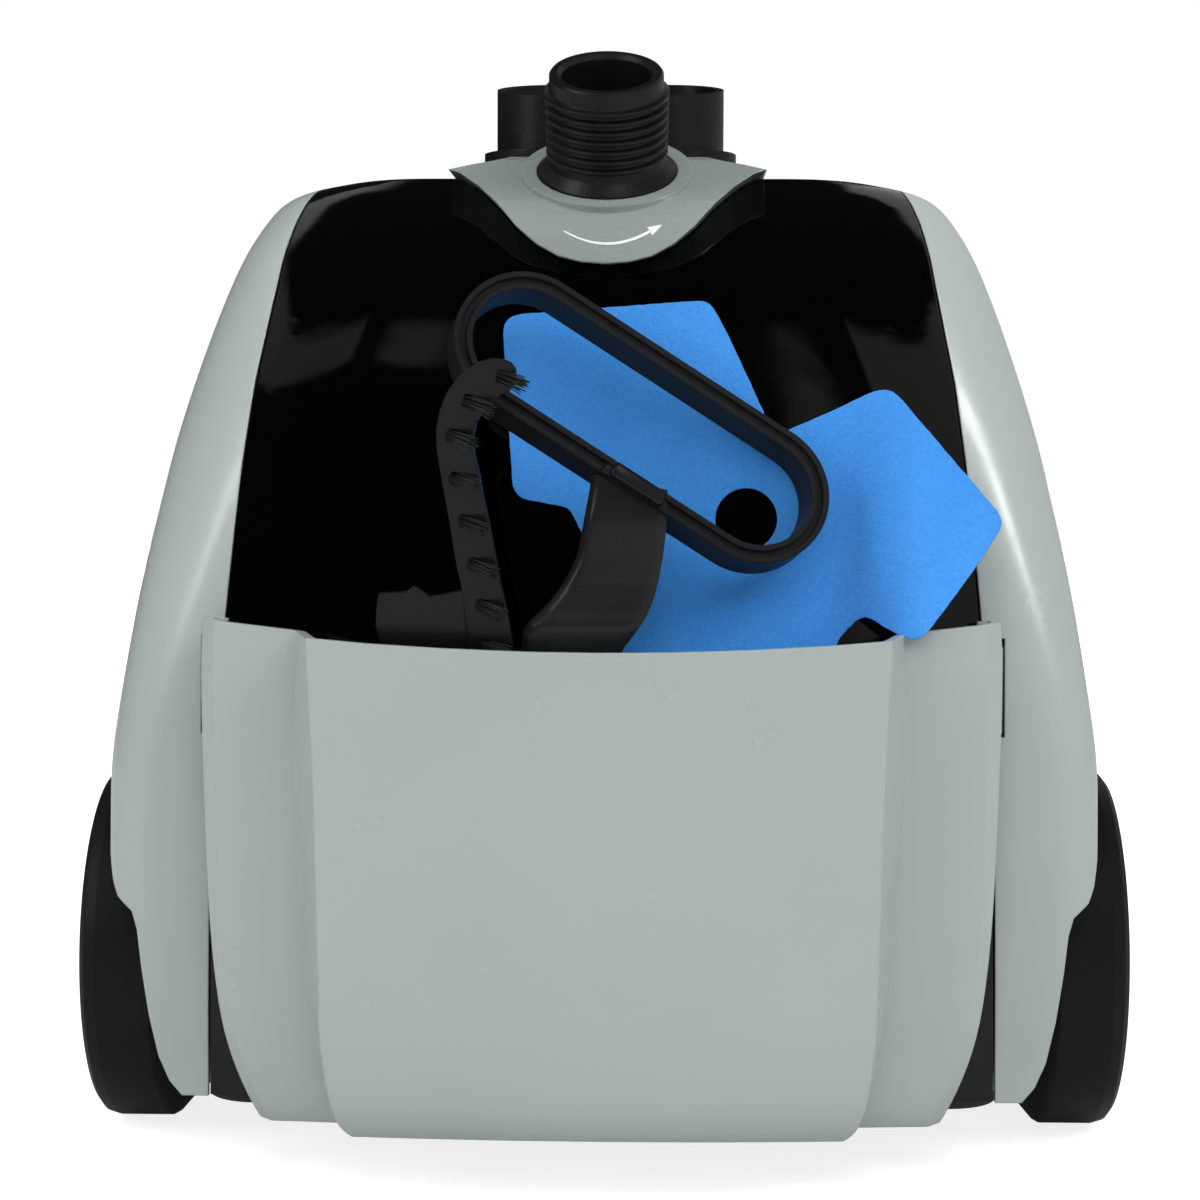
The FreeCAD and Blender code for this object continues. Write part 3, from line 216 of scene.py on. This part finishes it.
# closed-cell foam: fine cells, a slight mottling and a dry surface
f = Mat("foam_azure_cells")
cells = f.voronoi(1150.0)
grain = f.noise(900.0, 5.0, 0.7)
mottle = f.noise(26.0, 4.0)
base = f.mix(f.ramp(mottle, 0.3, 0.7, 0.0, 1.0), (0.048, 0.262, 0.700), (0.060, 0.305, 0.800))
base = f.mix(f.ramp(grain, 0.35, 0.70, 0.0, 0.55), base, (0.030, 0.190, 0.590))
f.link(base, "Base Color")
f.link(f.ramp(grain, 0.3, 0.7, 0.78, 0.95), "Roughness")
f.set(Specular_IOR_Level=0.18, Sheen_Weight=0.12, Sheen_Roughness=0.5)
f.bump(f.add(cells, f.ramp(grain, 0.0, 1.0, 0.0, 0.8)), 0.55, 0.00018, 0.0006)
M["foam_blue"] = f.m

w = Mat("arrow_pale_print")
w.link(w.mix(w.ramp(w.noise(700.0), 0.3, 0.7, 0.0, 1.0), (0.72, 0.75, 0.74), (0.82, 0.84, 0.83)), "Base Color")
w.link(w.ramp(w.noise(300.0), 0.3, 0.7, 0.45, 0.6), "Roughness")
arrow_mat = w.m

slots = {s["node"]: s["material_slot"] for s in frame["record"]["subparts"]}
for n, o in N.items():
    # the top yoke gets the darker shell-grey copy (painted shade); the ring frame gets its own satin black
    m = M[{"top_yoke": "yoke_shade_painted_grey", "ring_frame": "ring_black"}.get(n, slots[n])]
    if not o.data.materials:
        o.data.materials.append(m)
    for s in o.material_slots:
        s.material = m


def new_object(name, bm, mat, body, smooth=True):
    me = bpy.data.meshes.new(name)
    bm.normal_update()
    bm.to_mesh(me)
    bm.free()
    if smooth:
        for p in me.polygons:
            p.use_smooth = True
    o = bpy.data.objects.new(name, me)
    bpy.context.scene.collection.objects.link(o)
    me.materials.append(mat)
    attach(o, body)
    return o


def catmull(pts, n):
    """n points along a smooth line through pts"""
    out = []
    k = len(pts) - 1
    for i in range(n):
        u = i * k / (n - 1)
        j = min(int(u), k - 1)
        f_ = u - j
        p0, p1, p2, p3 = pts[max(j - 1, 0)], pts[j], pts[j + 1], pts[min(j + 2, k)]
        out.append(tuple(0.5 * (2 * b + (c - a) * f_ + (2 * a - 5 * b + 4 * c - d) * f_ ** 2 + (3 * b - a - 3 * c + d) * f_ ** 3) for a, b, c, d in zip(p0, p1, p2, p3)))
    return out


# ------------------------------------------------------------------ foam pad
PAD_OUT = [(-30.1, 253.5), (-28.8, 231.0), (-26.6, 204.2), (-24.8, 201.8), (-9.9, 199.3), (2.0, 176.0), (6.0, 150.0), (10.0, 116.0), (14.0, 112.0), (58.0, 112.0), (64.0, 118.0),
           (68.0, 150.0), (69.9, 160.6), (73.9, 165.2), (77.7, 168.4), (84.0, 164.3), (88.2, 162.4), (90.4, 161.7), (93.1, 162.7), (99.4, 170.6), (108.3, 182.0), (116.8, 194.2), (117.4, 195.9),
           (116.6, 197.9), (104.8, 212.0), (93.4, 225.7), (86.6, 234.0), (84.3, 235.2), (82.0, 234.6), (67.3, 227.7), (56.3, 222.8), (51.0, 221.0),
           (47.6, 228.7), (41.9, 241.2), (36.4, 252.5), (33.4, 258.5), (32.2, 260.6), (30.1, 261.2), (-1.2, 258.8), (-25.9, 256.8), (-29.2, 255.6)]


def pad_y(x, z):
    k = min(max((x - 69.0) / 25.0, 0.0), 1.0)
    s = k * k * (3 - 2 * k)
    r = min(max(1.0 - (z - 162.0) / 95.0, 0.0), 1.0)
    return -81.4 + 0.16 * (z - 160.0) - 20.5 * s * r


def refine(loop, step):
    out = []
    for a, b in zip(loop, loop[1:] + loop[:1]):
        L = math.hypot(b[0] - a[0], b[1] - a[1])
        n = max(1, int(L / step))
        for i in range(n):
            out.append((a[0] + (b[0] - a[0]) * i / n, a[1] + (b[1] - a[1]) * i / n))
    return out


def relax(loop, times):
    for _ in range(times):
        n = len(loop)
        loop = [(0.5 * loop[i][0] + 0.25 * (loop[i - 1][0] + loop[(i + 1) % n][0]), 0.5 * loop[i][1] + 0.25 * (loop[i - 1][1] + loop[(i + 1) % n][1])) for i in range(n)]
    return loop


def inside(x, z, loop):
    c = False
    j = len(loop) - 1
    for i in range(len(loop)):
        if (loop[i][1] > z) != (loop[j][1] > z) and x < (loop[j][0] - loop[i][0]) * (z - loop[i][1]) / (loop[j][1] - loop[i][1]) + loop[i][0]:
            c = not c
        j = i
    return c


def pad_mesh():
    loop = relax(refine(PAD_OUT, 1.6), 2)
    # small cutting burrs along the edge
    rough = []
    n = len(loop)
    for i, (x, z) in enumerate(loop):
        a, b = loop[i - 1], loop[(i + 1) % n]
        L = math.hypot(b[0] - a[0], b[1] - a[1]) or 1.0
        nx, nz = (b[1] - a[1]) / L, -(b[0] - a[0]) / L
        d = random.uniform(-0.10, 0.10)
        rough.append((x + nx * d, z + nz * d))
    loop = rough
    HX, HZ, HR = 42.9, 195.9, 9.2
    hole = [(HX + HR * math.cos(2 * math.pi * i / 48), HZ + HR * math.sin(2 * math.pi * i / 48)) for i in range(48)]
    pts, edges = [], []
    for L in (loop, hole):
        s = len(pts)
        pts += [Vector(p) for p in L]
        edges += [(s + i, s + (i + 1) % len(L)) for i in range(len(L))]
    x = -28.0
    while x < 118:
        z = 113.5
        while z < 260:
            d = min((x - q[0]) ** 2 + (z - q[1]) ** 2 for q in loop)
            if d > 4.0 and inside(x, z, loop) and math.hypot(x - HX, z - HZ) > HR + 2.0:
                pts.append(Vector((x, z)))
            z += 4.0
        x += 4.0
    v, e, fcs, ov, oe, of_ = delaunay_2d_cdt(pts, edges, [], 0, 1e-5)
    keep = []
    for tri in fcs:
        cx = sum(v[i][0] for i in tri) / len(tri)
        cz = sum(v[i][1] for i in tri) / len(tri)
        if inside(cx, cz, loop) and math.hypot(cx - HX, cz - HZ) > HR * 0.995:
            keep.append(tri)
    bm = bmesh.new()
    T = 0.95
    front = [bm.verts.new(P(q[0], pad_y(q[0], q[1]) - T, q[1])) for q in v]
    back = [bm.verts.new(P(q[0], pad_y(q[0], q[1]) + T, q[1])) for q in v]
    count = {}
    for tri in keep:
        for i in range(len(tri)):
            k = (tri[i], tri[(i + 1) % len(tri)])
            count[k] = True
        bm.faces.new([front[i] for i in tri])
        bm.faces.new([back[i] for i in reversed(tri)])
    for a, b in list(count):
        if (b, a) not in count:
            bm.faces.new([front[b], front[a], back[a], back[b]])
    bmesh.ops.delete(bm, geom=[q for q in bm.verts if not q.link_faces], context="VERTS")
    bmesh.ops.recalc_face_normals(bm, faces=bm.faces)
    return bm


pad = new_object("pad_foam_sheet", pad_mesh(), M["foam_blue"], "pad_body")
pad.data.set_sharp_from_angle(angle=math.radians(38))
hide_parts("foam_pad")

# ------------------------------------------------------------------ strap of the hook
LEFT = [(-2.5, 209.5), (-3.2, 204.5), (-4.3, 198.3), (-5.4, 192.2), (-6.5, 186.7), (-8.4, 182.1), (-11.1, 177.4), (-14.5, 172.7), (-18.3, 168.8), (-21.5, 165.2), (-22.6, 160.0), (-23.0, 146.0), (-23.0, 131.0)]
RIGHT = [(19.4, 205.0), (19.4, 200.5), (19.2, 195.6), (18.8, 190.9), (18.0, 184.7), (17.0, 179.2), (15.6, 173.8), (13.4, 168.4), (10.3, 163.7), (6.5, 158.2), (4.4, 151.0), (3.0, 141.0), (2.0, 131.0)]
PATH = [(205.5, -99.6), (196.0, -100.6), (184.0, -100.4), (177.0, -100.4), (171.0, -101.6), (166.0, -103.0), (160.0, -102.4), (152.0, -99.6), (142.0, -96.0), (131.0, -93.0)]


def path_y(z):
    for (a, ya), (b, yb) in zip(PATH, PATH[1:]):
        if z >= b:
            u = min(max((a - z) / (a - b), 0.0), 1.0)
            return ya + (yb - ya) * (u * u * (3 - 2 * u) * 0.5 + u * 0.5)
    return PATH[-1][1]


def strap_mesh():
    rows, cols = 72, 17
    L, R = catmull(LEFT, rows), catmull(RIGHT, rows)
    bm = bmesh.new()
    T = 1.15
    fr, bk = [], []
    for (lx, lz), (rx, rz) in zip(L, R):
        a, b = [], []
        for j in range(cols):
            # the left border is a wide chamfer that runs back to the rear face
            u = 0.0 if j == 0 else 0.085 + 0.915 * (j - 1) / (cols - 2)
            x, z = lx + (rx - lx) * u, lz + (rz - lz) * u
            crown = 0.5 * (1 - (2 * u - 1) ** 2)
            edge = 2.0 if j == 0 else (0.35 if j == cols - 1 else 0.0)
            y = path_y(z)
            a.append(bm.verts.new(P(x, y - T - crown * 0.5 + edge, z)))
            b.append(bm.verts.new(P(x, y + T - (0.0 if j == 0 else edge), z)))
        fr.append(a)
        bk.append(b)
    for i in range(rows - 1):
        for j in range(cols - 1):
            bm.faces.new([fr[i][j], fr[i + 1][j], fr[i + 1][j + 1], fr[i][j + 1]])
            bm.faces.new([bk[i][j + 1], bk[i + 1][j + 1], bk[i + 1][j], bk[i][j]])
        bm.faces.new([bk[i][0], bk[i + 1][0], fr[i + 1][0], fr[i][0]])
        bm.faces.new([fr[i][-1], fr[i + 1][-1], bk[i + 1][-1], bk[i][-1]])
    for j in range(cols - 1):
        bm.faces.new([fr[0][j], fr[0][j + 1], bk[0][j + 1], bk[0][j]])
        bm.faces.new([fr[-1][j + 1], fr[-1][j], bk[-1][j], bk[-1][j + 1]])
    bmesh.ops.recalc_face_normals(bm, faces=bm.faces)
    return bm


strap = new_object("strap_band", strap_mesh(), M["strap_black"], "attachment_body")
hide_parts("hook_strap")
for p in strap.data.polygons:
    p.use_smooth = True
strap.data.set_sharp_from_angle(angle=math.radians(50))

# clip block that closes round the lower rail
def block(name, centre, along, up, size, mat, body, bev):
    along = along.normalized()
    out = along.cross(up).normalized()
    up = out.cross(along).normalized()
    bm = bmesh.new()
    bmesh.ops.create_cube(bm, size=1.0)
    for v in bm.verts:
        l = v.co
        v.co = centre + along * l.x * size[0] + up * l.y * size[1] + out * l.z * size[2]
    bmesh.ops.bevel(bm, geom=list(bm.edges), offset=bev, segments=3, profile=0.5, affect="EDGES")
    return new_object(name, bm, mat, body)


rail_u = Vector((0.8401, 0.0497, -0.5402))
clip = block("clip_block", P(10.8, -103.7, 206.3), rail_u, Vector((0.486, 0.372, 0.791)), (0.0175, 0.0046, 0.0050), M["accessory_black"], "attachment_body", 0.0011)
foot_clip = block("clip_tongue", P(2.2, -104.4, 210.6), rail_u, Vector((0.486, 0.372, 0.791)), (0.0030, 0.0034, 0.0030), M["accessory_black"], "attachment_body", 0.0009)

# ------------------------------------------------------------------ brush bristles
TUFT = [(-27.5, 236.9), (-37.0, 230.1), (-41.7, 220.3), (-40.9, 208.2), (-38.5, 196.0), (-36.1, 183.7), (-33.8, 171.8), (-32.3, 160.1)]
D = Vector((0.74, -0.62, -0.26)).normalized()


def bristles():
    bm = bmesh.new()
    e1 = D.cross(Vector((0, 0, 1))).normalized()
    e2 = D.cross(e1)
    for x, z in TUFT:
        b = P(x, -105.6 - 0.16 * (z - 160.0), z) - D * 0.0010
        # bristles of the tuft, rooted in a disc of 1.5 mm radius in its moulded seat
        for k in range(34):
            r = 0.00150 * math.sqrt(random.random())
            a = random.uniform(0, 2 * math.pi)
            o = e1 * r * math.cos(a) + e2 * r * math.sin(a)
            lean = o * random.uniform(20, 90) + Vector((random.uniform(-1, 1), random.uniform(-1, 1), random.uniform(-1, 1))) * 0.03
            d = (D + lean).normalized()
            L = random.uniform(0.0092, 0.0108)
            rr = random.uniform(0.00019, 0.00026)
            base = b + o
            q1 = d.cross(e1).normalized()
            q2 = d.cross(q1)
            rings = []
            for s, w_ in ((0.0, 1.0), (0.5, 0.95), (0.93, 0.8), (1.0, 0.35)):
                c = base + d * L * s + e2 * 0.0002 * s * s
                rings.append([bm.verts.new(c + (q1 * math.cos(t_) + q2 * math.sin(t_)) * rr * w_) for t_ in (0, 1.2566, 2.5133, 3.7699, 5.0265)])
            for A, B in zip(rings, rings[1:]):
                for i in range(5):
                    bm.faces.new([A[i], A[(i + 1) % 5], B[(i + 1) % 5], B[i]])
            bm.faces.new(rings[-1])
            bm.faces.new(list(reversed(rings[0])))
    bmesh.ops.recalc_face_normals(bm, faces=bm.faces)
    return bm


br = new_object("bristle_tufts", bristles(), M["bristle_black"], "brush_body")
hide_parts("brush_tufts")

# ------------------------------------------------------------------ printed turning arrow on the yoke
def bvh_of(names):
    vs, ps = [], []
    for n in names:
        me = N[n].data
        s = len(vs)
        vs += [v.co.copy() for v in me.vertices]
        ps += [[s + i for i in p.vertices] for p in me.polygons]
    return BVHTree.FromPolygons(vs, ps)


def arrow():
    tree = bvh_of(["top_yoke"])
    def hit(x, z):
        p, n, i, d = tree.ray_cast(P(x, -200.0, z), Vector((0, 1, 0)))
        if p is None:
            p, n, i, d = tree.find_nearest(P(x, -50.0, z))
        if n.y > 0:
            n = -n
        return p, n
    def arc(u):
        x = -12.6 + 26.6 * u
        return x, 279.3 + 0.0225 * (x - 0.6) ** 2
    n = 40
    bm = bmesh.new()
    rows = []
    for i in range(n + 1):
        u = i / n
        x, z = arc(u)
        x2, z2 = arc(min(u + 0.01, 1.02))
        tx, tz = x2 - x, z2 - z
        L = math.hypot(tx, tz)
        nx, nz = -tz / L, tx / L
        wd = 0.20 + 0.20 * min(u * 2.0, 1.0)
        r = []
        for s in (-1, 1):
            p, nn = hit(x + nx * wd * s, z + nz * wd * s)
            r.append((p, nn))
        rows.append(r)
    def quad_strip(rows):
        top = [[bm.verts.new(p + nn * 0.00014) for p, nn in r] for r in rows]
        low = [[bm.verts.new(p - nn * 0.00010) for p, nn in r] for r in rows]
        for i in range(len(rows) - 1):
            bm.faces.new([top[i][0], top[i + 1][0], top[i + 1][1], top[i][1]])
            bm.faces.new([low[i][1], low[i + 1][1], low[i + 1][0], low[i][0]])
            for s in (0, 1):
                bm.faces.new([top[i][s], low[i][s], low[i + 1][s], top[i + 1][s]])
        bm.faces.new([top[0][0], top[0][1], low[0][1], low[0][0]])
        bm.faces.new([top[-1][1], top[-1][0], low[-1][0], low[-1][1]])
    quad_strip(rows)
    # head
    x, z = arc(1.0)
    x1, z1 = arc(0.94)
    tx, tz = x - x1, z - z1
    L = math.hypot(tx, tz)
    tx, tz = tx / L, tz / L
    head = []
    for k in range(7):
        u = k / 6.0
        wd = 1.45 * (1 - u) + 0.04
        cx, cz = x - 0.3 * tx + tx * 4.2 * u, z - 0.3 * tz + tz * 4.2 * u
        head.append([hit(cx - tz * wd * s, cz + tx * wd * s) for s in (-1, 1)])
    quad_strip(head)
    bmesh.ops.recalc_face_normals(bm, faces=bm.faces)
    return bm


ar = new_object("turn_arrow", arrow(), arrow_mat, "housing", smooth=False)

# ------------------------------------------------------------------ stage
def sweep():
    bm = bmesh.new()
    prof = [(-5.0, 0.0), (5.0, 0.0)]
    rows = [[bm.verts.new((x, y, 0.0)) for x in (-6.0, 6.0)] for y, z in prof]
    bm.faces.new([rows[0][0], rows[0][1], rows[1][1], rows[1][0]])
    me = bpy.data.meshes.new("studio_floor")
    bm.to_mesh(me)
    bm.free()
    o = bpy.data.objects.new("studio_floor", me)
    bpy.context.scene.collection.objects.link(o)
    g = Mat("floor_paper")
    g.link(g.mix(g.ramp(g.noise(6.0, 4.0), 0.3, 0.7, 0.0, 1.0), (0.56, 0.56, 0.56), (0.58, 0.58, 0.58)), "Base Color")
    g.link(g.ramp(g.noise(60.0), 0.3, 0.7, 0.75, 0.9), "Roughness")
    g.set(Specular_IOR_Level=0.1)
    g.b.inputs["Emission Color"].default_value = (1, 1, 1, 1)
    ray = g.t.nodes.new("ShaderNodeLightPath")
    g.link(g.ramp(ray.outputs["Is Camera Ray"], 0.0, 1.0, 0.06, 0.82), "Emission Strength")
    me.materials.append(g.m)
    return o


floor = sweep()

# ------------------------------------------------------------------ light
sc = bpy.context.scene
world = bpy.data.worlds.new("studio")
sc.world = world
world.use_nodes = True
wt = world.node_tree
wt.nodes.clear()
wo = wt.nodes.new("ShaderNodeOutputWorld")
bg_c = wt.nodes.new("ShaderNodeBackground")
bg_c.inputs[0].default_value = (1, 1, 1, 1)
bg_c.inputs[1].default_value = 1.0
bg_d = wt.nodes.new("ShaderNodeBackground")
bg_d.inputs[0].default_value = (0.95, 0.975, 1.0, 1)
bg_d.inputs[1].default_value = 0.62
bg_g = wt.nodes.new("ShaderNodeBackground")
bg_g.inputs[0].default_value = (1.0, 1.0, 1.0, 1)
# what glossy surfaces see: a dark ceiling, a dim wall on the right and a low strip on the left
wd = wt.nodes.new("ShaderNodeTexCoord")
sp = wt.nodes.new("ShaderNodeSeparateXYZ")
wt.links.new(wd.outputs["Generated"], sp.inputs[0])


def wramp(src, lo, hi, a, b):
    n = wt.nodes.new("ShaderNodeMapRange")
    n.interpolation_type = "SMOOTHSTEP"
    n.inputs["From Min"].default_value = lo
    n.inputs["From Max"].default_value = hi
    n.inputs["To Min"].default_value = a
    n.inputs["To Max"].default_value = b
    wt.links.new(src, n.inputs["Value"])
    return n.outputs[0]


def wmath(op, a, b):
    n = wt.nodes.new("ShaderNodeMath")
    n.operation = op
    for i, v in ((0, a), (1, b)):
        if isinstance(v, float):
            n.inputs[i].default_value = v
        else:
            wt.links.new(v, n.inputs[i])
    return n.outputs[0]


low = wramp(sp.outputs["Z"], 0.70, 0.74, 1.0, 0.0)
right_wall = wramp(sp.outputs["X"], 0.10, 0.13, 0.0, 1.0)
strip = wmath("MULTIPLY", wramp(sp.outputs["Z"], 0.60, 0.62, 0.0, 1.0), wramp(sp.outputs["X"], -0.16, -0.10, 1.0, 0.0))
wall = wmath("MAXIMUM", right_wall, strip)
wt.links.new(wmath("ADD", wmath("MULTIPLY", wmath("MULTIPLY", low, wall), 0.42), 0.015), bg_g.inputs[1])
lp = wt.nodes.new("ShaderNodeLightPath")
m1 = wt.nodes.new("ShaderNodeMixShader")
m2 = wt.nodes.new("ShaderNodeMixShader")
wt.links.new(lp.outputs["Is Glossy Ray"], m1.inputs[0])
wt.links.new(bg_d.outputs[0], m1.inputs[1])
wt.links.new(bg_g.outputs[0], m1.inputs[2])
wt.links.new(lp.outputs["Is Camera Ray"], m2.inputs[0])
wt.links.new(m1.outputs[0], m2.inputs[1])
wt.links.new(bg_c.outputs[0], m2.inputs[2])
wt.links.new(m2.outputs[0], wo.inputs[0])


def area(name, loc, target, size, power, color=(1, 1, 1), glossy=True, diffuse=True):
    l = bpy.data.lights.new(name, "AREA")
    l.shape = "RECTANGLE"
    l.size, l.size_y = size
    l.energy = power
    l.color = color
    o = bpy.data.objects.new(name, l)
    sc.collection.objects.link(o)
    o.location = loc
    d = (Vector(target) - Vector(loc)).normalized()
    o.rotation_euler = d.to_track_quat("-Z", "Y").to_euler()
    o.visible_camera = False
    o.visible_glossy = glossy
    o.visible_diffuse = diffuse
    return o


area("key", (1.7, -1.1, 1.8), (0, -0.05, 0.15), (1.2, 1.2), 26.0, glossy=False)
area("fill", (-1.8, -1.0, 1.3), (0, -0.05, 0.15), (1.2, 1.2), 17.0, glossy=False)
area("front", (0.1, -1.3, 1.25), (0, -0.05, 0.17), (1.2, 0.8), 7.5, glossy=False)
area("top", (0.2, 0.1, 2.2), (0, 0, 0.2), (1.6, 1.2), 4.0, glossy=False)
area("back", (0.3, 2.0, 1.4), (0, 0, 0.2), (1.4, 0.8), 6.0, glossy=False)
soft_left = area("gloss_left", (-1.5, -1.2, 1.4), (-0.1, 0, 0.2), (0.4, 1.4), 12.0, diffuse=False)
soft_right = area("gloss_right", (1.6, -0.5, 1.6), (0.1, 0, 0.2), (0.16, 1.8), 34.0, diffuse=False)
soft_front = area("gloss_front", (0.5, -1.6, 1.9), (0.0, -0.1, 0.2), (0.7, 0.4), 3.5, diffuse=False)
# the strip boxes light the shells; the small front box lights the black fittings; neither reaches the mirror-black panel
shells = bpy.data.collections.new("strip_receivers")
fittings = bpy.data.collections.new("front_receivers")
for o in sc.objects:
    if o.type == "MESH" and o.name in ("left_shell", "right_shell", "accessory_bin", "top_yoke"):
        shells.objects.link(o)
    if o.type == "MESH" and o.name not in ("front_panel", "studio_floor"):
        fittings.objects.link(o)
soft_left.light_linking.receiver_collection = fittings
soft_right.light_linking.receiver_collection = shells
soft_front.light_linking.receiver_collection = fittings

# ------------------------------------------------------------------ camera
YAW, ROLL, PITCH = math.radians(1.35), math.radians(0.2), math.atan(154.0 / 2600.0)
eye = Vector((0.850 * math.sin(YAW) - 0.0023, -0.850 * math.cos(YAW) - 0.0156, 0.2205))
h = Vector((-math.sin(YAW), math.cos(YAW), 0))
fw = h * math.cos(PITCH) + Vector((0, 0, -math.sin(PITCH)))
rt = Vector((math.cos(YAW), math.sin(YAW), 0))
up = rt.cross(fw)
c_, s_ = math.cos(ROLL), math.sin(ROLL)
R_ = rt * c_ + up * s_
U_ = up * c_ - rt * s_
cam = bpy.data.cameras.new("camera")
cam.sensor_width = 36.0
cam.lens = 78.0
cam.clip_start, cam.clip_end = 0.01, 50.0
co = bpy.data.objects.new("camera", cam)
sc.collection.objects.link(co)
mw = Matrix((R_, U_, -fw)).transposed().to_4x4()
mw.translation = eye
co.matrix_world = mw
sc.camera = co
sc.view_settings.view_transform = "Standard"
sc.view_settings.look = "None"
